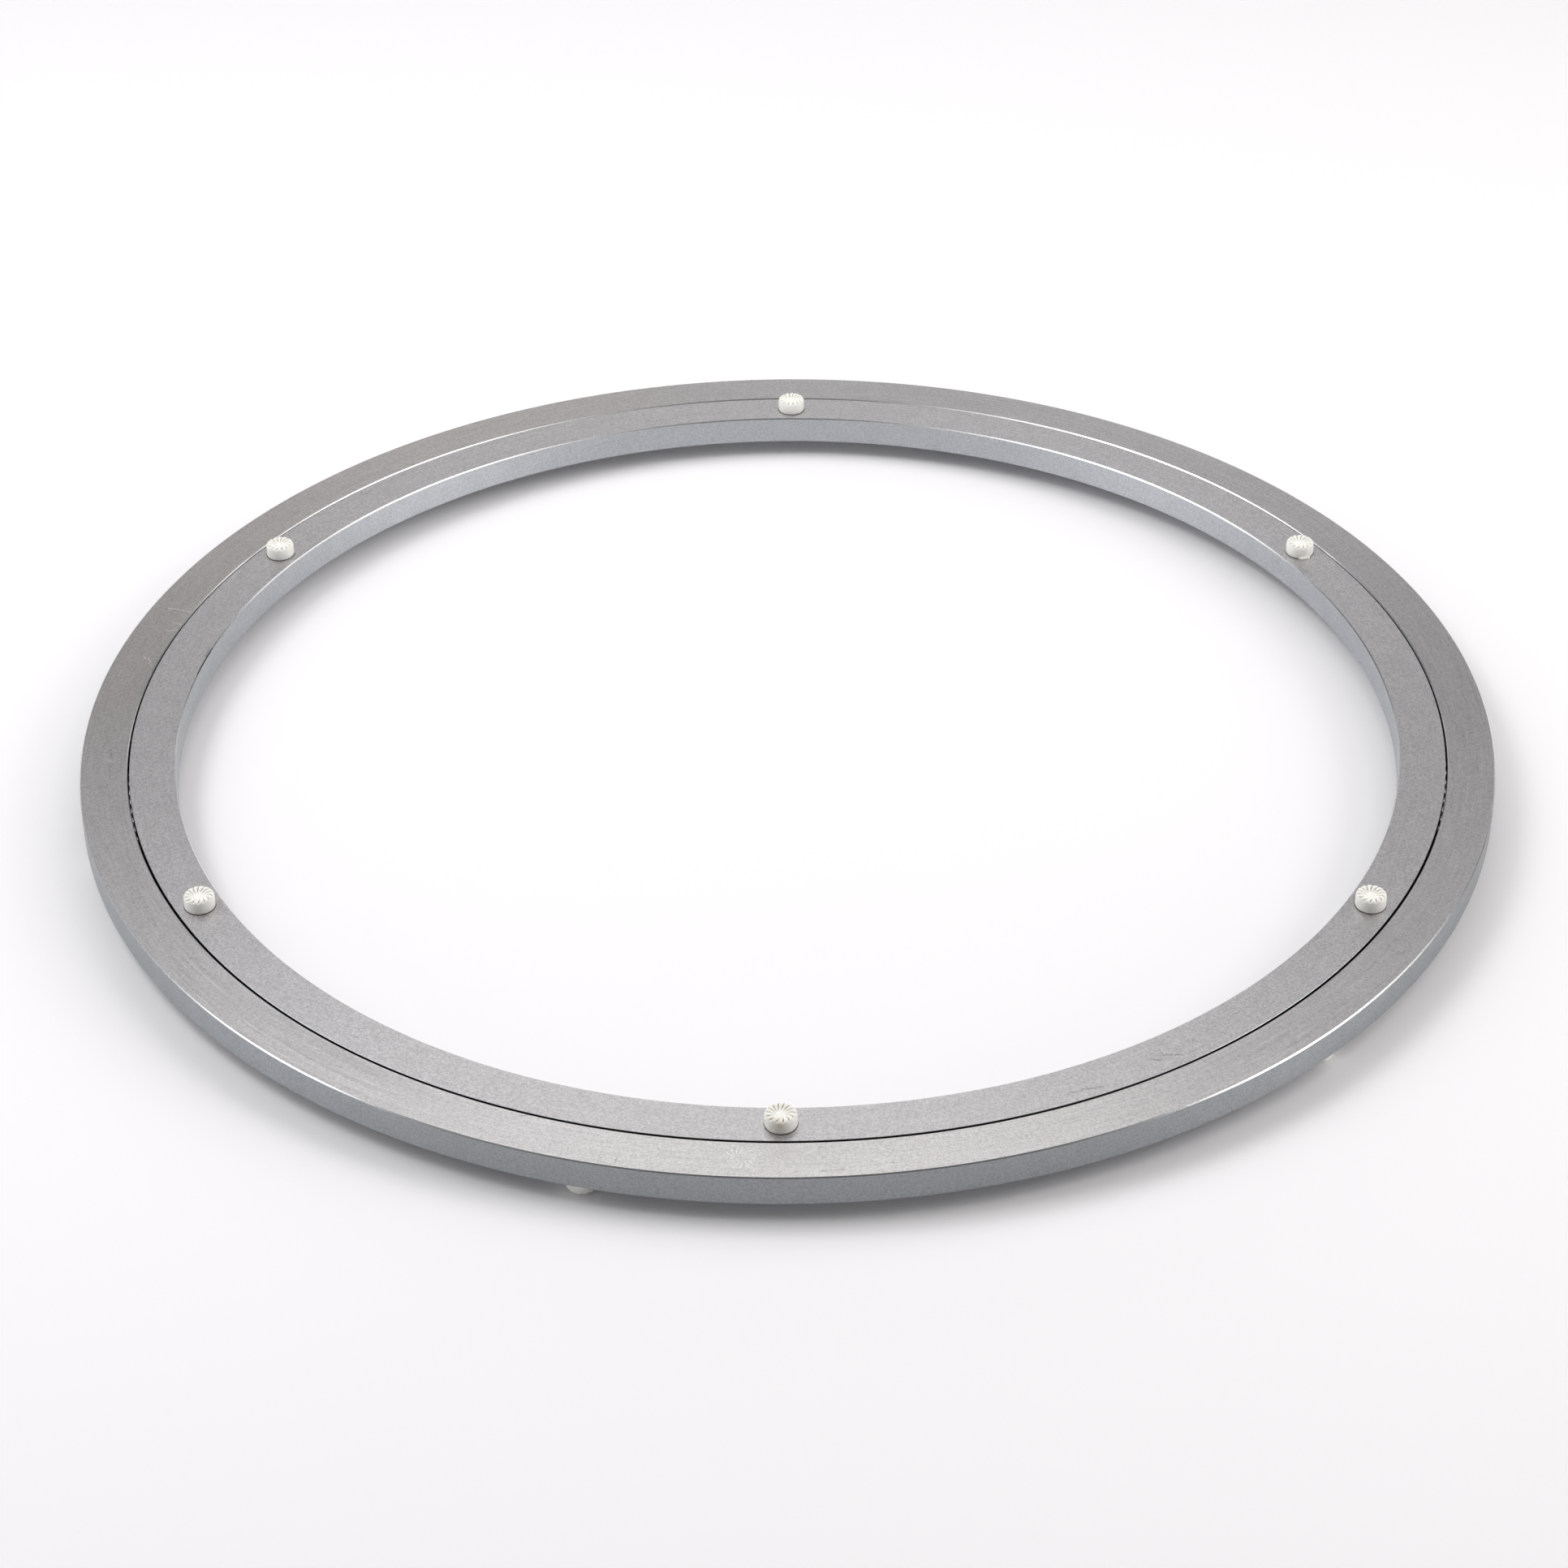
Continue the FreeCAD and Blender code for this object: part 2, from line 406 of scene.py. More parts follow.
def grain_group():
    """Blasted or etched grain, and wide clouds, from nought to one."""
    sockets = [("Place", VECTOR), ("Size", FLOAT, 0.3)]
    tree, given = new_group("Grain", sockets, [("Grain", FLOAT), ("Clouds", FLOAT)])
    fine = over(1.0, given["Size"])
    give(tree, {"Grain": noise(given["Place"], fine, detail=3.0, rough=0.85),
                "Clouds": noise(given["Place"], CLOUD_SCALE, detail=3.0, rough=0.55)})


def scratch_group():
    """One straight scratch from start to end, broken up along its way: a mask from nought to one."""
    sockets = [("Place", VECTOR), ("Start", VECTOR), ("End", VECTOR), ("Width", FLOAT, 0.2),
               ("Break up", FLOAT, 0.5)]
    tree, given = new_group("Scratch", sockets, [("Mask", FLOAT)])
    run = vector_calc("SUBTRACT", given["End"], given["Start"])
    from_start = vector_calc("SUBTRACT", flattened(given["Place"]), given["Start"])
    along = vector_calc("DOT_PRODUCT", from_start, run)
    part = calc("DIVIDE", along, vector_calc("DOT_PRODUCT", run, run), clamp=True)
    gap = vector_calc("DISTANCE", from_start, vector_calc("SCALE", run, scale=part))
    mask = remap(over(gap, given["Width"]), 1.0, 0.2, smooth=True)
    broken = remap(noise(given["Place"], 1.6), 0.38, 0.58)
    kept = beside("ShaderNodeMix", {0: given["Break up"], 2: 1.0, 3: broken})
    give(tree, {"Mask": times(mask, kept.outputs[0])})


def pad_print_group():
    """The rub mark that a pad leaves on metal: a band with a print of its petals."""
    sockets = [("Place", VECTOR), ("Centre", VECTOR), ("Outer", FLOAT, 3.6), ("Inner", FLOAT, 1.7),
               ("Petals", FLOAT, 14.0)]
    tree, given = new_group("Pad print", sockets, [("Mask", FLOAT), ("Petals", FLOAT)])
    offset = vector_calc("SUBTRACT", flattened(given["Place"]), given["Centre"])
    span = vector_calc("LENGTH", offset)
    x, y, _ = parted(offset)
    turn = add(calc("ARCTAN2", y, x), times(span, PRINT_LEAN))
    worn = remap(noise(given["Place"], 0.55), 0.35, 0.6)
    mask = times(band(span, given["Inner"], given["Outer"], PRINT_BLUR, PRINT_BLUR), worn)
    grooves = remap(petal_waves(turn, given["Petals"]), 0.55, 0.15)
    give(tree, {"Mask": mask, "Petals": times(mask, grooves)})


def seat_shade_group():
    """Painted shade: a dark line round each pad's seat, for pads in even steps on a circle."""
    sockets = [("Place", VECTOR), ("Out", FLOAT), ("Seats", FLOAT, 6.0), ("Circle", FLOAT, 180.0),
               ("First", FLOAT, 0.0), ("Inner", FLOAT, 3.9), ("Outer", FLOAT, 4.5)]
    tree, given = new_group("Seat line", sockets, [("Mask", FLOAT)])
    x, y, _ = parted(given["Place"])
    turn = less(calc("ARCTAN2", y, x), given["First"])
    step = over(2 * pi, given["Seats"])
    aside = less(turn, times(calc("ROUND", over(turn, step)), step))
    across = times(given["Out"], calc("SINE", aside))
    along = less(times(given["Out"], calc("COSINE", aside)), given["Circle"])
    span = slope(across, along)
    give(tree, {"Mask": band(span, given["Inner"], given["Outer"], *SEAT_SHADE_BLURS)})


# Marks on the rings, as (degrees round from the front, distance from the axis in mm)

# Start, end and width
OUTER_SCRATCHES = [
    ((252.4, 194.8), (252.3, 191.6), 0.33),
    ((252.3, 192.9), (252.4, 187.5), 0.36),
    ((254.5, 190.1), (254.6, 187.2), 0.27),
    ((255.9, 190.2), (255.6, 187.1), 0.30),
    ((260.3, 191.7), (260.7, 190.6), 0.30),
    ((260.5, 190.2), (261.1, 188.7), 0.33),
    ((260.6, 188.5), (260.4, 187.5), 0.30),
    ((261.3, 189.4), (261.6, 187.9), 0.30),
    ((276.3, 192.8), (276.6, 191.4), 0.33),
]
OUTER_SCUFFS = [
    ((274.8, 191.9), (276.1, 191.3), 0.45),
    ((277.0, 192.0), (278.9, 191.5), 0.30),
    ((233.5, 192.4), (233.1, 191.6), 0.50),
    ((1.0, 197.8), (1.3, 197.6), 0.45),
    ((2.7, 197.6), (4.5, 197.7), 0.40),
    ((348.3, 196.6), (348.3, 198.4), 0.35),
    ((339.9, 188.1), (340.4, 187.2), 0.40),
]
INNER_SCUFFS = [
    ((30.9, 180.1), (31.8, 182.4), 0.55),
    ((31.7, 180.0), (33.4, 182.8), 0.50),
    ((32.3, 178.4), (32.2, 179.1), 0.30),
    ((35.3, 180.1), (35.4, 181.4), 0.40),
    ((24.1, 182.6), (25.8, 183.8), 0.45),
    ((23.1, 182.3), (24.0, 183.1), 0.35),
    ((257.7, 174.1), (259.2, 174.0), 0.45),
]
BORE_NICK = [
    ((257.8, 173.6), (258.9, 173.5), 0.45),
    ((258.9, 173.5), (260.6, 173.5), 0.30),
    ((260.6, 173.5), (262.4, 173.6), 0.55),
]

# Place, outer and inner radius in mm, and strength
PAD_PRINTS = [
    ((56.2, 193.9), 3.6, 2.1, 1.0),
    ((116.0, 192.4), 3.4, 1.75, 0.6),
    ((236.3, 192.1), 3.4, 1.75, 0.3),
    ((297.3, 193.0), 3.4, 1.75, 0.5),
]
BRIGHT_PRINT = ((357.0, 192.6), 4.1, 1.0)

# Darkened patches of the outer ring: degrees round from the front, how far they reach, their colour. The
# first is a thin layer of oil; the second, round the back, is painted shade that makes the back of the top
# darker
FILMS_AND_SHADE = [
    (233.0, 55.0, (0.91, 0.885, 0.865)),
    (145.0, 75.0, (0.86, 0.86, 0.862)),
]

# Colours of marks, and how strongly each covers what is under it
PRINT_SHINE = ((0.95, 0.94, 0.93), 0.8)
SCRATCH = ((0.97, 0.96, 0.94), 0.7)
SMUDGE = ((0.14, 0.14, 0.15), 0.45)
# Painted shade where each pad meets the inner ring's top
SEAT_SHADE = ((0.06, 0.065, 0.06), 0.65)
NICK = ((0.07, 0.065, 0.06), 0.85)
STAIN = ((0.62, 0.50, 0.38), 0.5)

RUBBED_METAL = (0.12, 0.11, 0.10)
RUB_STRENGTH = 0.2
PETAL_STRENGTH = 0.14
SCUFF_STRENGTH = 0.35
# The darker tone of the races: oil, and painted shade
BLACK_OIL_AND_SHADE = (0.05, 0.045, 0.04)
BROWN_OIL = (0.30, 0.28, 0.25)
SHADED_IVORY = (0.94, 0.93, 0.865)
# Painted shade and dust in the grooves of the pads
GROOVE_DUST_AND_SHADE = (0.42, 0.37, 0.29)

# The stain on the near side of the front pad, in mm
STAIN_PLACE = (-1.2, -183.4, 16.2)

# Grain in mm, and the depth of the surface's relief
GRAIN_SIZE = 0.55
RACE_GRAIN_SIZE = 1.2
BALL_GRAIN_SIZE = 1.5
TURNED_RELIEF = 0.008 * MM
GRAIN_RELIEF = 0.006 * MM
CUT_RELIEF = 0.01 * MM
PAD_RELIEF = 0.02 * MM


def mark_place(mark):
    """The place of a mark in plan, in millimetres."""
    turn, distance = mark
    return (distance * sin(radians(turn)), -distance * cos(radians(turn)), 0.0)


def scratch_mask(where, scratches, break_up):
    """The joint mask of a list of scratches."""
    masks = []
    for start, end, width in scratches:
        made = place_group(where.id_data, "Scratch", Place=where, Start=mark_place(start),
                           End=mark_place(end), Width=width, Break_up=break_up)
        masks.append(made["Mask"])
    return most(masks)


def lathe_lines(where, out, width, run):
    """Turning lines of a width and a length in millimetres."""
    return place_group(where.id_data, "Lathe lines", Place=where, Out=out, Width=width, Length=run)["Lines"]


def print_masks(where, spot, outer, inner):
    """The outputs of a pad print at a place on the ring."""
    return place_group(where.id_data, "Pad print", Place=where, Centre=mark_place(spot), Outer=outer,
                       Inner=inner)


# Materials

def new_material(name):
    """The tree and the one Principled shader of a new material."""
    if name in bpy.data.materials:
        raise ValueError(f"there is a material named {name} already")
    material = bpy.data.materials.new(name)
    material.use_nodes = True
    return material.node_tree, material.node_tree.nodes["Principled BSDF"]


def new_metal(name, grain_size=GRAIN_SIZE):
    """The shader of a new metal, and the sockets for place, distance out, grain and clouds."""
    tree, shader = new_material(name)
    shader.inputs["Metallic"].default_value = 1.0
    ring = place_group(tree, "Ring place")
    grain = place_group(tree, "Grain", Place=ring["Place"], Size=grain_size)
    return shader, ring["Place"], ring["Out"], grain["Grain"], grain["Clouds"]


def connect_bump(shader, height, distance):
    """A bump of the given height in metres."""
    bump = beside("ShaderNodeBump", {"Height": height, "Strength": 1.0, "Distance": distance})
    connect(shader, {"Normal": bump.outputs[0]})


def stretch_highlight(shader, amount):
    """Draws a highlight out across lines that run round the axis."""
    round_axis = node(shader.id_data, "ShaderNodeTangent", direction_type="RADIAL", axis="Z").outputs[0]
    connect(shader, {"Anisotropic": amount, "Anisotropic Rotation": 0.25, "Tangent": round_axis})


def toned(base, tone):
    """A colour made lighter or darker by a tone about nought."""
    light = add(1.0, tone)
    grey = beside("ShaderNodeCombineColor", {0: light, 1: light, 2: light})
    return blend(1.0, base, grey.outputs[0], "MULTIPLY")


def marked(base, mask, mark):
    """A colour with a mark over it where the mask says."""
    tint, strength = mark
    return blend(times(mask, strength), base, tint)


def turned_top(finish):
    """Satin aluminium with turning lines, pad prints, scratches, a patch of oil and painted shade round the
    back: the outer ring's top.
    """
    shader, where, out, grain, _ = new_metal("turned_top")
    lines = lathe_lines(where, out, 0.3, 16.0)
    broad = lathe_lines(where, out, 0.8, 45.0)
    tone = add(swing(lines, -0.1, 0.1), swing(grain, -0.26, 0.26))
    base = toned(finish.turned, tone)
    # Darker patches: a layer of oil, and painted shade round the back
    for middle, spread, tint in FILMS_AND_SHADE:
        along = vector_calc("DOT_PRODUCT", where, mark_place((middle, 1.0)))
        darkened_patch = remap(over(along, out), cos(radians(spread)), 1.0, smooth=True)
        base = blend(darkened_patch, base, tint, "MULTIPLY")
    rubs, petals = [], []
    for spot, outer, inner, strength in PAD_PRINTS:
        left = print_masks(where, spot, outer, inner)
        rubs.append(times(left["Mask"], strength))
        petals.append(times(left["Petals"], strength))
    rub = most(rubs)
    scuffs = times(scratch_mask(where, OUTER_SCUFFS, 0.8), SCUFF_STRENGTH)
    dark = add(times(rub, RUB_STRENGTH), scuffs, clamp=True)
    dark = add(dark, times(most(petals), PETAL_STRENGTH), clamp=True)
    base = blend(dark, base, RUBBED_METAL)
    base = marked(base, print_masks(where, *BRIGHT_PRINT)["Petals"], PRINT_SHINE)
    scratches = scratch_mask(where, OUTER_SCRATCHES, 0.35)
    base = marked(base, scratches, SCRATCH)
    rough = add(finish.turned_roughness, swing(broad, -0.045, 0.045))
    rough = add(rough, times(rub, 0.08))
    connect(shader, {"Base Color": base, "Roughness": rough})
    stretch_highlight(shader, finish.turned_brushing)
    height = add(times(lines, 4.0), times(grain, 0.4))
    connect_bump(shader, less(height, times(scratches, 1.5)), TURNED_RELIEF)


def blasted_top(finish):
    """Fine matt aluminium with a light turning pattern, smudges and painted shade round the foot of each
    pad: the inner ring's top.
    """
    shader, where, out, grain, clouds = new_metal("blasted_top")
    lines = lathe_lines(where, out, 0.5, 14.0)
    tone = add(swing(grain, -0.3, 0.3), swing(lines, -0.05, 0.05))
    base = toned(finish.blasted, add(tone, swing(clouds, -0.02, 0.02)))
    base = marked(base, scratch_mask(where, INNER_SCUFFS, 0.8), SMUDGE)
    # Painted shade round the foot of each pad
    shade_seats = place_group(shader.id_data, "Seat line", Place=where, Out=out, Seats=float(len(TOP_PADS)),
                        Circle=pad_circle / MM, First=pad_angle,
                        Inner=finish.seat_shade_inner / MM, Outer=finish.seat_shade_outer / MM)
    base = marked(base, shade_seats["Mask"], SEAT_SHADE)
    rough = add(finish.blasted_roughness, swing(grain, -0.03, 0.05))
    connect(shader, {"Base Color": base, "Roughness": rough})
    stretch_highlight(shader, finish.blasted_brushing)
    connect_bump(shader, grain, GRAIN_RELIEF)


def ring_wall(finish):
    """Etched aluminium, a little blue and cloudy, the outer wall darker than the bore as painted shade:
    walls and undersides.
    """
    shader, _, out, grain, clouds = new_metal("ring_wall")
    middle = (bore_radius + outer_radius) / 2 / MM
    # The outer wall and its underside are darker than the bore: painted shade
    base = blend(calc("GREATER_THAN", out, middle), finish.bore, finish.wall)
    tone = add(swing(grain, -0.24, 0.24), swing(clouds, -0.04, 0.04))
    base = toned(base, tone)
    rough = add(finish.wall_roughness, swing(clouds, -0.02, 0.02))
    connect(shader, {"Base Color": base, "Roughness": rough})
    stretch_highlight(shader, finish.wall_brushing)
    connect_bump(shader, grain, GRAIN_RELIEF)


def cut_edge(finish):
    """Bright cut aluminium with chatter and the nick at the bore: chamfers."""
    shader, where, _, grain, _ = new_metal("cut_edge")
    nick = scratch_mask(where, BORE_NICK, 0.3)
    base = marked(toned(finish.cut, swing(grain, -0.06, 0.03)), nick, NICK)
    connect(shader, {"Base Color": base, "Roughness": swing(grain, 0.24, 0.27)})
    connect_bump(shader, less(times(grain, 0.06), nick), CUT_RELIEF)


def race_oil_and_shade(finish):
    """Oiled metal, made near black as painted shade: the races, the walls of the split and the blind holes.
    """
    shader, _, _, grain, _ = new_metal("race_oil_and_shade", RACE_GRAIN_SIZE)
    base = blend(remap(grain, 0.35, 0.7), finish.race, BLACK_OIL_AND_SHADE)
    connect(shader, {"Base Color": base, "Roughness": swing(grain, 0.28, 0.5)})


def polished_steel(finish):
    """Polished steel with a film of oil: the balls."""
    shader, _, _, grain, _ = new_metal("polished_steel", BALL_GRAIN_SIZE)
    base = blend(remap(grain, 0.4, 0.7, 0.0, 0.6), finish.steel, BROWN_OIL)
    connect(shader, {"Base Color": base, "Roughness": swing(grain, 0.10, 0.26)})


def ivory_plastic(finish):
    """Ivory plastic that lets a little light in, with painted shade and dust in the grooves and a stain:
    pads and feet.
    """
    tree, shader = new_material("ivory_plastic")
    where = place_group(tree, "Ring place")["Place"]
    groove = node(tree, "ShaderNodeAttribute", attribute_name="groove").outputs["Fac"]
    mottle = noise(where, 0.9, detail=3.0, rough=0.6)
    fine = noise(where, 7.0, rough=0.6)
    base = blend(remap(mottle, 0.4, 0.7, 0.0, 0.5), finish.pad, SHADED_IVORY)
    # Darker by the depth of the grooves: painted shade, with the tint of dust
    base = blend(remap(groove, 0.25, 0.85, 0.0, 0.95), base, GROOVE_DUST_AND_SHADE)
    near = remap(vector_calc("DISTANCE", where, STAIN_PLACE), 3.4, 0.8, smooth=True)
    base = marked(base, times(near, remap(mottle, 0.35, 0.6, 0.3, 1.0)), STAIN)
    connect(shader, {
        "Base Color": base,
        "Roughness": swing(fine, 0.36, 0.5),
        "Specular IOR Level": 0.4,
        "Subsurface Weight": 0.1,
        "Subsurface Radius": (1.0, 0.9, 0.7),
        "Subsurface Scale": 1.2 * MM,
    })
    connect_bump(shader, fine, PAD_RELIEF)


# Geometry trees

def set_on_circle(thing, count, radius, level, first, own_turn=0.0):
    """Real copies of a thing at even steps on a level circle, each turned on its own axis."""
    tree = thing.id_data
    circle = node(tree, "GeometryNodeMeshCircle", {"Vertices": count, "Radius": radius})
    spots = node(tree, "GeometryNodeTransform", {
        "Geometry": circle.outputs[0],
        "Translation": node(tree, "ShaderNodeCombineXYZ", {2: level}).outputs[0],
        "Rotation": node(tree, "ShaderNodeCombineXYZ", {2: first}).outputs[0],
    })
    copies = node(tree, "GeometryNodeInstanceOnPoints", {
        "Points": spots.outputs[0],
        "Instance": thing,
        "Rotation": node(tree, "ShaderNodeCombineXYZ", {2: own_turn}).outputs[0],
    })
    return node(tree, "GeometryNodeRealizeInstances", {0: copies.outputs[0]}).outputs[0]


def drilled_tree():
    """Drills blind holes at even steps on a circle."""
    sockets = [("Geometry", GEOMETRY), ("Holes", COUNT, 6), ("Circle", FLOAT, 0.18), ("First", FLOAT, 0.0),
               ("Level", FLOAT, 0.0), ("Radius", FLOAT, 0.002), ("Depth", FLOAT, 0.005), ("Bored", MATERIAL)]
    tree, given = new_group("Drilled ring", sockets, [("Geometry", GEOMETRY)], "GeometryNodeTree")
    whole_length = times(given["Depth"], 2.0)
    drill = node(tree, "GeometryNodeMeshCylinder",
                 {"Vertices": 48, "Radius": given["Radius"], "Depth": whole_length})
    flagged = node(tree, "GeometryNodeStoreNamedAttribute",
                   {"Geometry": drill.outputs["Mesh"], "Name": "bored", "Value": True},
                   data_type="BOOLEAN", domain="FACE")
    drills = set_on_circle(flagged.outputs[0], given["Holes"], given["Circle"], given["Level"],
                           given["First"])
    cut = node(tree, "GeometryNodeMeshBoolean", {"Mesh 1": given["Geometry"], "Mesh 2": drills},
               operation="DIFFERENCE", solver="EXACT")
    whole = node(tree, "GeometryNodeRealizeInstances", {0: cut.outputs[0]})
    flag = node(tree, "GeometryNodeInputNamedAttribute", {"Name": "bored"}, data_type="BOOLEAN")
    bored = node(tree, "GeometryNodeSetMaterial", {
        "Geometry": whole.outputs[0],
        "Selection": flag.outputs[0],
        "Material": given["Bored"],
    })
    give(tree, {"Geometry": bored.outputs[0]})


def ball_row_tree():
    """A full row of balls on a circle."""
    sockets = [("Geometry", GEOMETRY), ("Balls", COUNT, 258), ("Row radius", FLOAT, 0.186),
               ("Level", FLOAT, 0.009), ("Ball radius", FLOAT, 0.00225), ("Steel", MATERIAL)]
    tree, given = new_group("Ball row", sockets, [("Geometry", GEOMETRY)], "GeometryNodeTree")
    ball = node(tree, "GeometryNodeMeshUVSphere",
                {"Segments": 10, "Rings": 7, "Radius": given["Ball radius"]})
    smooth = node(tree, "GeometryNodeSetShadeSmooth", {"Geometry": ball.outputs["Mesh"]})
    row = set_on_circle(smooth.outputs[0], given["Balls"], given["Row radius"], given["Level"],
                        over(pi, given["Balls"]))
    steel = node(tree, "GeometryNodeSetMaterial", {"Geometry": row, "Material": given["Steel"]})
    give(tree, {"Geometry": steel.outputs[0]})


def petal_pads_tree():
    """Grooves a turned blank into petals and sets copies of it on a circle, each turned at random."""
    sockets = [("Geometry", GEOMETRY), ("Petals", COUNT, 14), ("Groove depth", FLOAT, 0.0006),
               ("Swirl", FLOAT, 0.1), ("Pad radius", FLOAT, 0.004), ("Pads", COUNT, 6),
               ("Circle", FLOAT, 0.18), ("First", FLOAT, 0.0), ("Level", FLOAT, 0.0), ("Seed", COUNT, 3),
               ("Plastic", MATERIAL)]
    tree, given = new_group("Petal pads", sockets, [("Geometry", GEOMETRY)], "GeometryNodeTree")
    x, y, _ = parted(node(tree, "GeometryNodeInputPosition").outputs[0])
    lean = times(over(slope(x, y), given["Pad radius"]), given["Swirl"])
    waves = petal_waves(add(calc("ARCTAN2", y, x), lean), given["Petals"])
    grooved_here = node(tree, "GeometryNodeInputNamedAttribute", {"Name": "share"}, data_type="FLOAT")
    depth = times(calc("POWER", less(1.0, waves), 2.0), grooved_here.outputs[0])
    kept = node(tree, "GeometryNodeStoreNamedAttribute",
                {"Geometry": given["Geometry"], "Name": "groove", "Value": depth},
                data_type="FLOAT", domain="POINT")
    down = times(times(depth, given["Groove depth"]), -1.0)
    normal = node(tree, "GeometryNodeInputNormal").outputs[0]
    grooved = node(tree, "GeometryNodeSetPosition",
                   {"Geometry": kept.outputs[0], "Offset": vector_calc("SCALE", normal, scale=down)})
    smooth = node(tree, "GeometryNodeSetShadeSmooth", {"Geometry": grooved.outputs[0]})
    chance = node(tree, "FunctionNodeRandomValue", {2: 0.0, 3: 2 * pi, "Seed": given["Seed"]},
                  data_type="FLOAT")
    pads = set_on_circle(smooth.outputs[0], given["Pads"], given["Circle"], given["Level"],
                         given["First"], chance.outputs[1])
    plastic = node(tree, "GeometryNodeSetMaterial", {"Geometry": pads, "Material": given["Plastic"]})
    give(tree, {"Geometry": plastic.outputs[0]})


# Meshes

def add_object(name, data):
    """A new object for a mesh, a light or a camera, in the scene."""
    made = bpy.data.objects.new(name, data)
    bpy.context.scene.collection.objects.link(made)
    return made


def new_mesh(name, corners, faces):
    """A mesh from its corners and faces."""
    mesh = bpy.data.meshes.new(name)
    mesh.from_pydata(corners, [], faces)
    mesh.update()
    return mesh


def lathed(name, section, steps, looped=True, lean=0.0):
    """A mesh turned from its section, a list of (radius, height, value).

    A looped section closes on itself, and its values are the material slots of the faces that follow.
    An open one starts and ends on the axis, and its values are the corners' shares of the grooves. Its
    rows of corners turn back by the lean, in radians per metre from the axis, so that they can follow
    a swirl.
    """
    corners, faces, shares, rows = [], [], [], []
    for radius, level, value in section:
        around = steps if radius else 1
        rows.append([len(corners) + i % around for i in range(steps)])
        for i in range(around):
            turn = 2 * pi * i / steps - lean * radius
            corners.append((radius * cos(turn), radius * sin(turn), level))
            shares.append(value)
    for here, there in zip(rows, rows[1:] + rows[:1] if looped else rows[1:]):
        for i in range(steps):
            j = (i + 1) % steps
            faces.append(list(dict.fromkeys([here[i], here[j], there[j], there[i]])))
    mesh = new_mesh(name, corners, faces)
    if looped:
        mesh.polygons.foreach_set("material_index", [slot for _, _, slot in section for _ in range(steps)])
        mesh.update()
    else:
        mesh.attributes.new("share", "FLOAT", "POINT").data.foreach_set("value", shares)
    return mesh


def smooth_but_sharp(mesh, limit=25.0):
    """Smooth shading with sharp edges where faces turn by more than the limit, in degrees."""
    mesh.shade_smooth()
    mesh.set_sharp_from_angle(angle=radians(limit))


def run_modifier(made, tree_name, inputs):
    """Runs a geometry tree on an object and keeps the result as its plain mesh."""
    tree = bpy.data.node_groups[tree_name]
    modifier = made.modifiers.new(tree_name, "NODES")
    modifier.node_group = tree
    sockets = {item.name: item.identifier for item in tree.interface.items_tree if item.in_out == "INPUT"}
    for name, value in inputs.items():
        modifier[sockets[name]] = value
    evaluated = made.evaluated_get(bpy.context.evaluated_depsgraph_get())
    mesh = bpy.data.meshes.new_from_object(evaluated)
    made.modifiers.remove(modifier)
    mesh.name = made.name
    made.data = mesh
    return mesh


def finish_piece(made, body, slot_name, *nodes):
    """Puts a finished piece on its body, in place of its nodes."""
    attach(made, body)
    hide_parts(*nodes)


# The rings

TOP, WALL, CUT, RACE = range(4)


def make_ring(sizes, name, top, section, drilling):
    """A ring turned from its section, with blind holes: how many, circle, first angle and level."""
    mesh = lathed(name, section, sizes.steps)
    for finish in (top, "ring_wall", "cut_edge", "race_oil_and_shade"):
        mesh.materials.append(bpy.data.materials[finish])
    made = add_object(name, mesh)
    holes, circle, first, level = drilling
    # The blind holes take the dark race finish: painted shade in them
    inputs = {"Holes": holes, "Circle": circle, "First": first, "Level": level, "Radius": sizes.hole,
              "Depth": sizes.hole_depth, "Bored": bpy.data.materials["race_oil_and_shade"]}
    smooth_but_sharp(run_modifier(made, "Drilled ring", inputs))
    return made


def build_outer_ring(scene):
    """The standing ring, with its race and the holes of the feet."""
    sizes = scene.bearing_rings
    mouth = sizes.race - (split_outer - row_radius)
    section = [
        (split_outer + sizes.under, ring_bottom, WALL),
        (outer_radius - sizes.under, ring_bottom, WALL),
        (outer_radius, ring_bottom + sizes.under, WALL),
        (outer_radius, ring_top - sizes.edge, CUT),
        (outer_radius - sizes.edge, ring_top, TOP),
        (split_outer + sizes.split, ring_top, CUT),
        (split_outer, ring_top - sizes.split, RACE),
        (split_outer, race_level + mouth, RACE),
        (row_radius + sizes.race, race_level, RACE),
        (split_outer, race_level - mouth, RACE),
        (split_outer, ring_bottom + sizes.under, WALL),
    ]
    drilling = (len(FOOT_PADS), foot_circle, foot_angle, ring_bottom)
    made = make_ring(sizes, "outer_ring_body", "turned_top", section, drilling)
    finish_piece(made, "base", "ring_aluminium", "outer_ring")


def build_inner_ring(scene):
    """The turning ring, with its race and the holes of the pads."""
    sizes = scene.bearing_rings
    mouth = sizes.race - (row_radius - split_inner)
    small_edge = sizes.under / 3
    section = [
        (bore_radius + sizes.under, ring_bottom, WALL),
        (split_inner - sizes.under, ring_bottom, WALL),
        (split_inner, ring_bottom + sizes.under, RACE),
        (split_inner, race_level - mouth, RACE),
        (row_radius - sizes.race, race_level, RACE),
        (split_inner, race_level + mouth, RACE),
        (split_inner, ring_top - small_edge, WALL),
        (split_inner - small_edge, ring_top, TOP),
        (bore_radius + sizes.edge, ring_top, CUT),
        (bore_radius, ring_top - sizes.edge, WALL),
        (bore_radius, ring_bottom + sizes.under, WALL),
    ]
    drilling = (len(TOP_PADS), pad_circle, pad_angle, ring_top)
    made = make_ring(sizes, "inner_ring_body", "blasted_top", section, drilling)
    finish_piece(made, "turntable", "ring_aluminium", "inner_ring")


# The plug and the balls

PLUG_STEPS = 48
PLUG_EDGE = 0.2 * MM
PLUG_EDGE_SHARE = 0.9


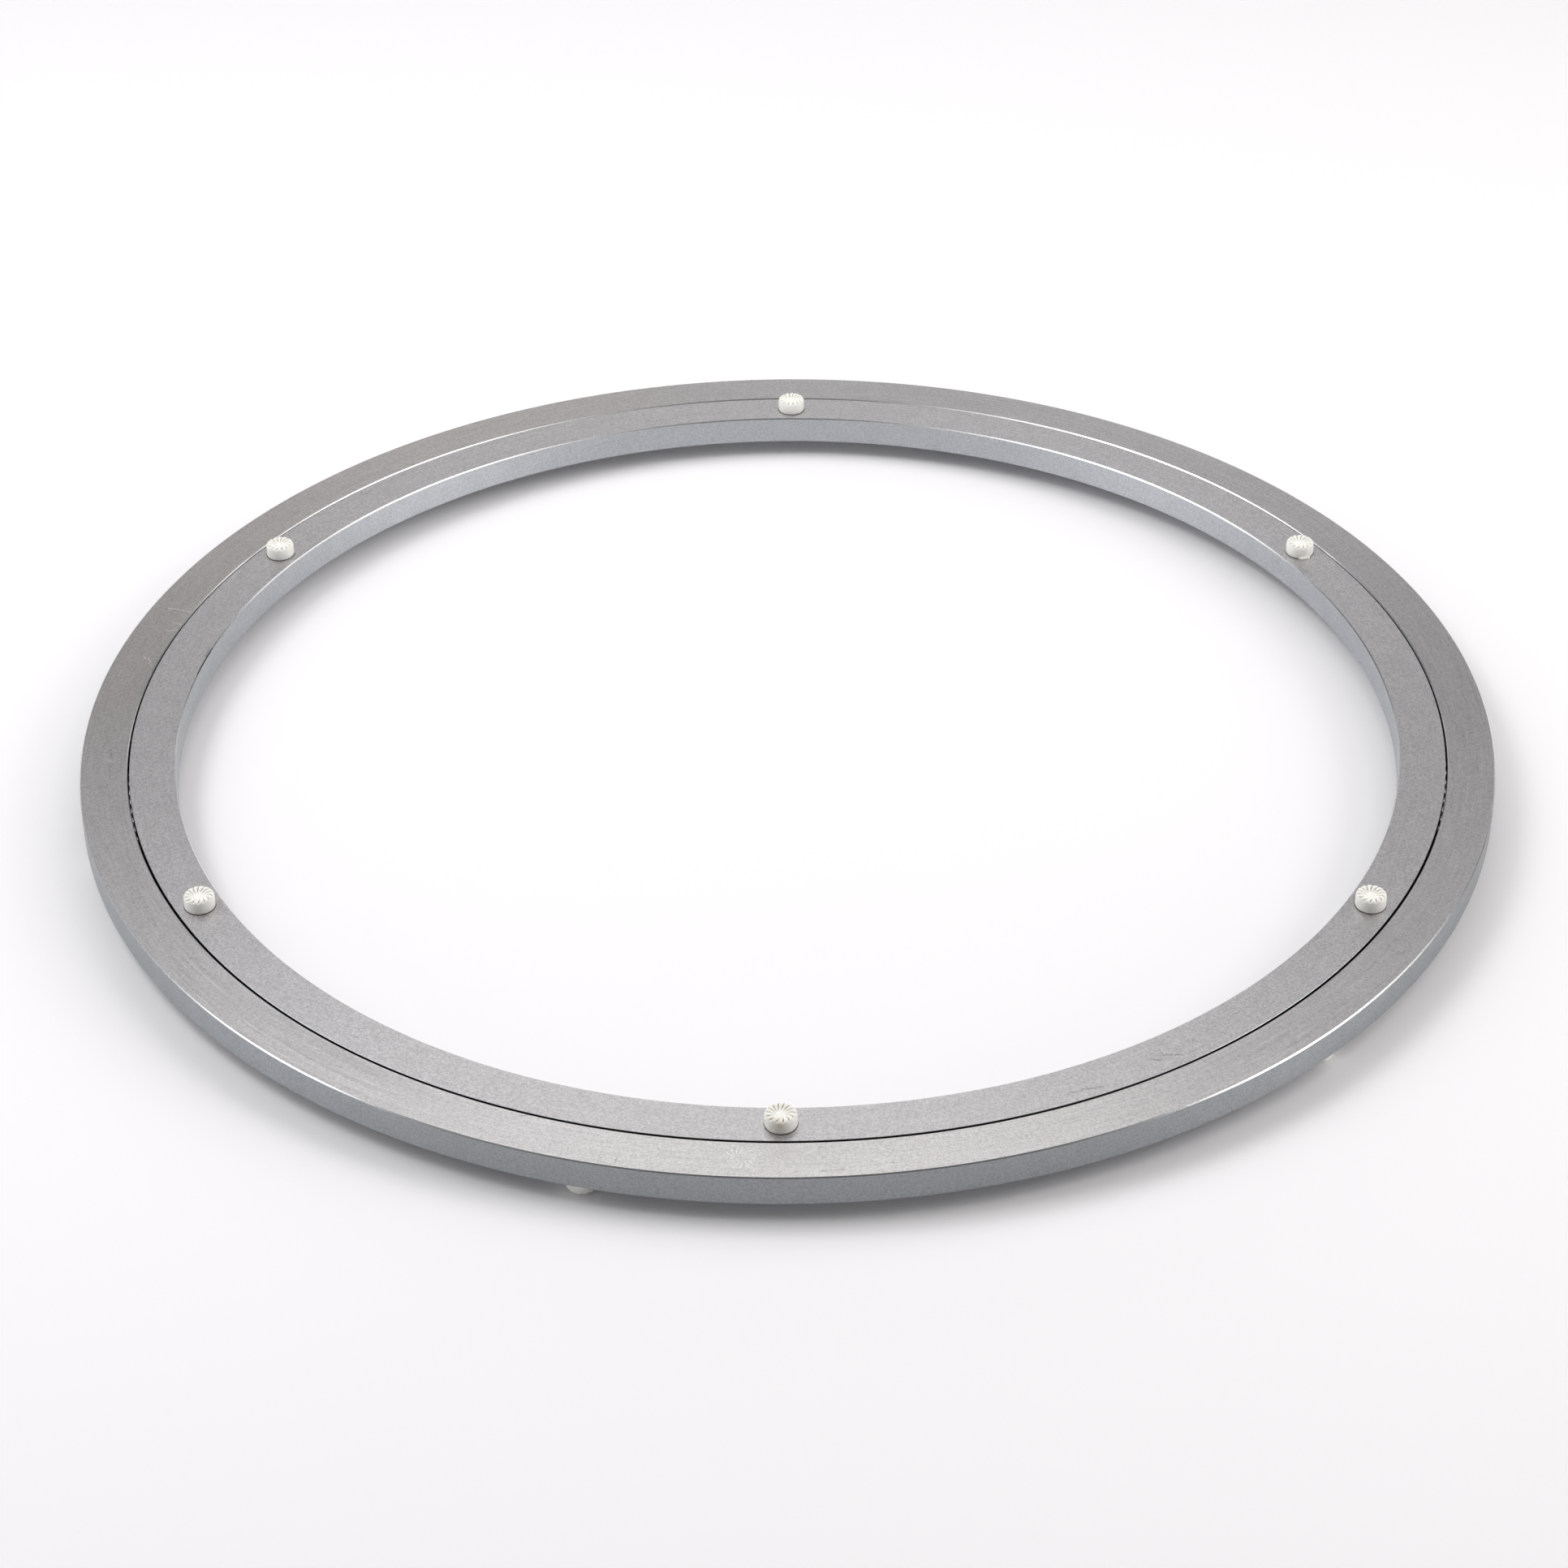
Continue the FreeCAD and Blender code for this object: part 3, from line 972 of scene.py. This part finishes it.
def build_plug(scene):
    """The plug of the filling hole: a short pin, its outer end curved with the wall."""
    low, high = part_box("fill_plug")
    radius = (high.z - low.z) / 2
    section = [
        (0.0, low.y, 0.0),
        (radius * PLUG_EDGE_SHARE, low.y, 0.0),
        (radius, low.y + PLUG_EDGE, 0.0),
        (radius, outer_radius, 0.0),
        (radius / 2, outer_radius, 0.0),
        (0.0, outer_radius, 0.0),
    ]
    mesh = lathed("fill_plug_body", section, PLUG_STEPS, looped=False)
    # The pin is turned upright, then laid along Y, which turns its faces round
    for corner in mesh.vertices:
        x, rise, depth = corner.co
        corner.co = (x, min(depth, sqrt(outer_radius ** 2 - x ** 2)), (low.z + high.z) / 2 + rise)
    mesh.flip_normals()
    mesh.materials.append(bpy.data.materials["ring_wall"])
    mesh.update()
    smooth_but_sharp(mesh)
    finish_piece(add_object("fill_plug_body", mesh), "base", "plug_aluminium", "fill_plug")


def build_balls(scene):
    """The row of balls between the races."""
    balls = scene.bearing_balls
    made = add_object("ball_row", bpy.data.meshes.new("ball_row"))
    inputs = {"Balls": balls.count, "Row radius": row_radius, "Level": race_level,
              "Ball radius": balls.radius, "Steel": bpy.data.materials["polished_steel"]}
    run_modifier(made, "Ball row", inputs)
    finish_piece(made, "ball_train", "ball_steel", *BALL_SETS)


# The pads and feet

# Small forms of the moulding
STEM_END_SHARE = 0.85
STEM_TAPER = 0.3 * MM
REBATE_HEIGHT = 0.16 * MM
FOOT_ROUND = 0.06 * MM
FOOT_ROUND_LOW = 0.20 * MM
FOOT_ROUND_HIGH = 0.34 * MM
WALL_DRAFT = 0.02 * MM
WALL_DRAFT_DROP = 1.75 * MM
SHOULDER_DRAFT = 0.03 * MM
SHOULDER_BEND = 0.75
SHOULDER_STEPS = 8
DISH_STEPS = 10
STEPS_PER_PETAL = 12
PAD_SHARP_ANGLE = 50.0

# Where round its foot the lip of flash of one pad runs, how far out, and its levels and thickness
FLASHED_PAD = "top_pad_3"
FLASH_START, FLASH_END = radians(-100), radians(-45)
FLASH_REACH = 0.42 * MM
FLASH_ROOT = 0.4 * MM
FLASH_LEVELS = (0.02 * MM, 0.45 * MM, 0.75 * MM)
FLASH_LEAN = 0.03 * MM
FLASH_STEPS = 10


def pad_blank(name, pads, crest):
    """A smooth pad with its stem, crown up and its base on z = 0."""
    wall = pads.radius
    section = [
        (0.0, -pads.stem_length, 0.0),
        (pads.stem * STEM_END_SHARE, -pads.stem_length, 0.0),
        (pads.stem, -pads.stem_length + STEM_TAPER, 0.0),
        (pads.stem, 0.0, 0.0),
        (wall - pads.rebate, 0.0, 0.0),
        (wall - pads.rebate, REBATE_HEIGHT, 0.0),
        (wall - FOOT_ROUND, FOOT_ROUND_LOW, 0.0),
        (wall, FOOT_ROUND_HIGH, 0.0),
        (wall - WALL_DRAFT, crest - WALL_DRAFT_DROP, 0.0),
    ]
    # The shoulder and the slope of the petals are quarter and half waves between wall, crest and dish
    for part in range(1, SHOULDER_STEPS + 1):
        bend = part / SHOULDER_STEPS * pi / 2
        radius = pads.crest_radius + (wall - SHOULDER_DRAFT - pads.crest_radius) * cos(bend) ** SHOULDER_BEND
        grooving = min(1.0, max(0.0, part - 1.5) / 4)
        section.append((radius, crest - pads.shoulder * (1 - sin(bend)), grooving))
    for part in range(1, DISH_STEPS + 1):
        way = part / DISH_STEPS
        radius = pads.crest_radius + (pads.dish_radius - pads.crest_radius) * way
        section.append((radius, crest - pads.dish * (1 - cos(way * pi)) / 2, min(1.0, 1.6 * (1 - way))))
    section += [(pads.dish_radius / 2, crest - pads.dish, 0.0), (0.0, crest - pads.dish, 0.0)]
    return lathed(name, section, pads.petals * STEPS_PER_PETAL, looped=False, lean=pads.swirl / wall)


def build_pads(scene, name, crest, upside_down, places, body, nodes, seed):
    """Six mouldings of one kind on their circle, whose places are circle, first angle and level."""
    pads = scene.bearing_pads
    mesh = pad_blank(name, pads, crest)
    if upside_down:
        mesh.transform(Matrix.Rotation(pi, 4, "X"))
    made = add_object(name, mesh)
    circle, first, level = places
    inputs = {"Petals": pads.petals, "Groove depth": pads.groove, "Swirl": pads.swirl,
              "Pad radius": pads.radius, "Pads": len(nodes), "Circle": circle, "First": first,
              "Level": level, "Seed": seed, "Plastic": bpy.data.materials["ivory_plastic"]}
    smooth_but_sharp(run_modifier(made, "Petal pads", inputs), PAD_SHARP_ANGLE)
    finish_piece(made, body, "pad_plastic", *nodes)


def build_flash(scene):
    """A thin lip of flash at the foot of one pad, on the side of its mould's parting."""
    pads = scene.bearing_pads
    low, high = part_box(FLASHED_PAD)
    centre = (low + high) / 2
    root = pads.radius - FLASH_ROOT
    bottom, tip, top = FLASH_LEVELS
    corners, faces = [], []
    for i in range(FLASH_STEPS + 1):
        turn = FLASH_START + (FLASH_END - FLASH_START) * i / FLASH_STEPS
        edge = pads.radius + FLASH_REACH * min(1.0, sin(pi * i / FLASH_STEPS) * 1.8)
        for radius, level in ((root, bottom), (edge, bottom), (edge - FLASH_LEAN, tip), (root, top)):
            corners.append((centre.x + radius * cos(turn), centre.y + radius * sin(turn), ring_top + level))
    for i in range(FLASH_STEPS):
        for k in range(4):
            a, b = 4 * i + k, 4 * i + (k + 1) % 4
            faces.append([a, a + 4, b + 4, b])
    faces += [[0, 1, 2, 3], [4 * FLASH_STEPS + k for k in (3, 2, 1, 0)]]
    mesh = new_mesh("pad_flash", corners, faces)
    mesh.materials.append(bpy.data.materials["ivory_plastic"])
    smooth_but_sharp(mesh)
    made = add_object("pad_flash", mesh)
    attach(made, "turntable")


# Studio

# Softboxes of each bank: azimuth and elevation in degrees, width and height in metres, share of its power
SOFTBOXES = {
    "left": [(-85, 34, (0.8, 0.6), 0.25), (-120, 46, (0.8, 0.6), 0.11),
             (-100, 56, (0.8, 0.6), 0.47), (-60, 56, (0.8, 0.6), 0.04)],
    "right": [(85, 34, (0.8, 0.6), 0.58), (113, 27, (0.8, 0.6), 0.18), (100, 56, (0.8, 0.6), 0.26)],
    "low_left": [(-72, 12, (0.8, 0.5), 0.80), (-105, 10, (1.2, 0.4), 0.12)],
    "low_right": [(70, 12, (0.8, 0.5), 1.0)],
    "back": [(180, 15, (1.7, 0.5), 0.68), (180, 42, (2.0, 0.6), 0.32)],
    "top": [(180, 65, (0.5, 0.4), 0.58), (-95, 66, (0.5, 0.5), 0.22), (95, 66, (0.5, 0.5), 0.22)],
}
TINTS = {
    "left": (0.985, 0.99, 1.0),
    "right": (1.0, 0.99, 0.975),
    "low_left": (0.98, 0.985, 1.0),
    "low_right": (1.0, 0.985, 0.975),
    "back": (1.0, 1.0, 1.0),
    "top": (1.0, 0.99, 0.98),
}
CAMERA_AIM = (-1.0 * MM, -33.5 * MM)
SENSOR_WIDTH_MM = 36.0
FLOOR_RADIUS = 3.0


def add_softbox(name, azimuth, elevation, distance, size, power, tint):
    """A softbox that faces the bearing, its azimuth counted from the front towards the right."""
    light = bpy.data.lights.new(name, "AREA")
    light.shape = "RECTANGLE"
    light.size, light.size_y = size
    light.energy = power
    light.color = tint
    turn, rise = radians(azimuth), radians(elevation)
    stand = distance * Vector((cos(rise) * sin(turn), -cos(rise) * cos(turn), sin(rise)))
    facing = (-stand).to_track_quat("-Z", "Y").to_matrix().to_4x4()
    add_object(name, light).matrix_world = Matrix.Translation(stand) @ facing


def build_camera(scene, studio):
    """The camera, on its side of the bearing."""
    camera = add_object("camera", bpy.data.cameras.new("camera"))
    camera.data.lens = studio.lens
    camera.data.sensor_width = SENSOR_WIDTH_MM
    rise, back = sin(studio.elevation), cos(studio.elevation)
    stand = Vector((*CAMERA_AIM, ring_top)) + studio.distance * Vector((0.0, -back, rise))
    axes = Matrix(((1.0, 0.0, 0.0), (0.0, rise, -back), (0.0, back, rise))).to_4x4()
    looking = Matrix.Translation(stand) @ axes @ Matrix.Rotation(studio.roll, 4, "Z")
    camera.matrix_world = Matrix.Rotation(studio.turn, 4, "Z") @ looking
    scene.camera = camera


def build_studio(scene):
    """Camera, lights, floor and room."""
    studio = scene.bearing_studio
    build_camera(scene, studio)
    for bank, softboxes in SOFTBOXES.items():
        distance = studio.near if bank == "top" else studio.reach
        for number, (azimuth, elevation, size, part) in enumerate(softboxes, 1):
            power = part * getattr(studio, bank)
            add_softbox(f"{bank}_light_{number}", azimuth, elevation, distance, size, power, TINTS[bank])

    bpy.ops.mesh.primitive_circle_add(vertices=96, radius=FLOOR_RADIUS, fill_type="NGON")
    floor = bpy.context.object
    floor.name = "floor"
    _, shader = new_material("pale_floor")
    connect(shader, {"Base Color": (*studio.floor, 1.0), "Roughness": 0.9, "Specular IOR Level": 0.1})
    floor.data.materials.append(bpy.data.materials["pale_floor"])

    world = bpy.data.worlds.new("room")
    scene.world = world
    world.use_nodes = True
    background = world.node_tree.nodes["Background"]
    background.inputs["Color"].default_value = (1.0, 1.0, 1.0, 1.0)
    background.inputs["Strength"].default_value = studio.room
    scene.view_settings.view_transform = "Standard"


# Operators and panel

GROUP_MAKERS = [ring_place_group, lathe_lines_group, grain_group, scratch_group, pad_print_group, seat_shade_group]
MATERIAL_MAKERS = [turned_top, blasted_top, ring_wall, cut_edge, race_oil_and_shade, polished_steel, ivory_plastic]
GEOMETRY_MAKERS = [drilled_tree, ball_row_tree, petal_pads_tree]


class BEARING_OT_materials(bpy.types.Operator):
    """Make the finishes of the bearing and the trees that build it"""

    bl_idname = "bearing.materials"
    bl_label = "Finishes"

    def execute(self, context):
        for make in GROUP_MAKERS:
            make()
        for make in MATERIAL_MAKERS:
            make(context.scene.bearing_finish)
        for make in GEOMETRY_MAKERS:
            make()
        return {"FINISHED"}


class BEARING_OT_outer_ring(bpy.types.Operator):
    """Turn the outer ring"""

    bl_idname = "bearing.outer_ring"
    bl_label = "Outer ring"

    def execute(self, context):
        build_outer_ring(context.scene)
        return {"FINISHED"}


class BEARING_OT_plug(bpy.types.Operator):
    """Make the plug of the filling hole"""

    bl_idname = "bearing.plug"
    bl_label = "Filling plug"

    def execute(self, context):
        build_plug(context.scene)
        return {"FINISHED"}


class BEARING_OT_inner_ring(bpy.types.Operator):
    """Turn the inner ring"""

    bl_idname = "bearing.inner_ring"
    bl_label = "Inner ring"

    def execute(self, context):
        build_inner_ring(context.scene)
        return {"FINISHED"}


class BEARING_OT_balls(bpy.types.Operator):
    """Fill the races with balls"""

    bl_idname = "bearing.balls"
    bl_label = "Balls"

    def execute(self, context):
        build_balls(context.scene)
        return {"FINISHED"}


class BEARING_OT_top_pads(bpy.types.Operator):
    """Mould the pads of the inner ring"""

    bl_idname = "bearing.top_pads"
    bl_label = "Top pads"

    def execute(self, context):
        places = (pad_circle, pad_angle, ring_top)
        build_pads(context.scene, "top_pads", pad_crest, False, places, "turntable", TOP_PADS, 3)
        build_flash(context.scene)
        return {"FINISHED"}


class BEARING_OT_foot_pads(bpy.types.Operator):
    """Mould the feet of the outer ring"""

    bl_idname = "bearing.foot_pads"
    bl_label = "Feet"

    def execute(self, context):
        places = (foot_circle, foot_angle, ring_bottom)
        build_pads(context.scene, "foot_pads", foot_crest, True, places, "base", FOOT_PADS, 5)
        return {"FINISHED"}


class BEARING_OT_studio(bpy.types.Operator):
    """Set up camera, floor and lights"""

    bl_idname = "bearing.studio"
    bl_label = "Studio"

    def execute(self, context):
        build_studio(context.scene)
        return {"FINISHED"}


class BEARING_PT_panel(bpy.types.Panel):
    """Sizes, finishes and studio of the bearing"""

    bl_idname = "BEARING_PT_panel"
    bl_label = "Lazy Susan Bearing"
    bl_space_type = "VIEW_3D"
    bl_region_type = "UI"
    bl_category = "Bearing"

    def draw(self, context):
        for operator in OPERATORS:
            self.layout.operator(operator.bl_idname)
        for name in PROPERTY_GROUPS:
            box = self.layout.box()
            group = getattr(context.scene, name)
            for key in group.__annotations__:
                box.prop(group, key)


OPERATORS = [BEARING_OT_materials, BEARING_OT_outer_ring, BEARING_OT_plug, BEARING_OT_inner_ring,
             BEARING_OT_balls, BEARING_OT_top_pads, BEARING_OT_foot_pads, BEARING_OT_studio]


def register():
    """Adds the property groups, operators and panel."""
    for name, group in PROPERTY_GROUPS.items():
        bpy.utils.register_class(group)
        setattr(bpy.types.Scene, name, PointerProperty(type=group))
    for cls in OPERATORS + [BEARING_PT_panel]:
        bpy.utils.register_class(cls)


def unregister():
    """Removes what register added."""
    for cls in reversed(OPERATORS + [BEARING_PT_panel]):
        bpy.utils.unregister_class(cls)
    for name, group in PROPERTY_GROUPS.items():
        delattr(bpy.types.Scene, name)
        bpy.utils.unregister_class(group)


def main():
    """Builds everything."""
    register()
    bpy.ops.bearing.materials()
    bpy.ops.bearing.outer_ring()
    bpy.ops.bearing.plug()
    bpy.ops.bearing.inner_ring()
    bpy.ops.bearing.balls()
    bpy.ops.bearing.top_pads()
    bpy.ops.bearing.foot_pads()
    bpy.ops.bearing.studio()


if __name__ == "__main__":
    main()
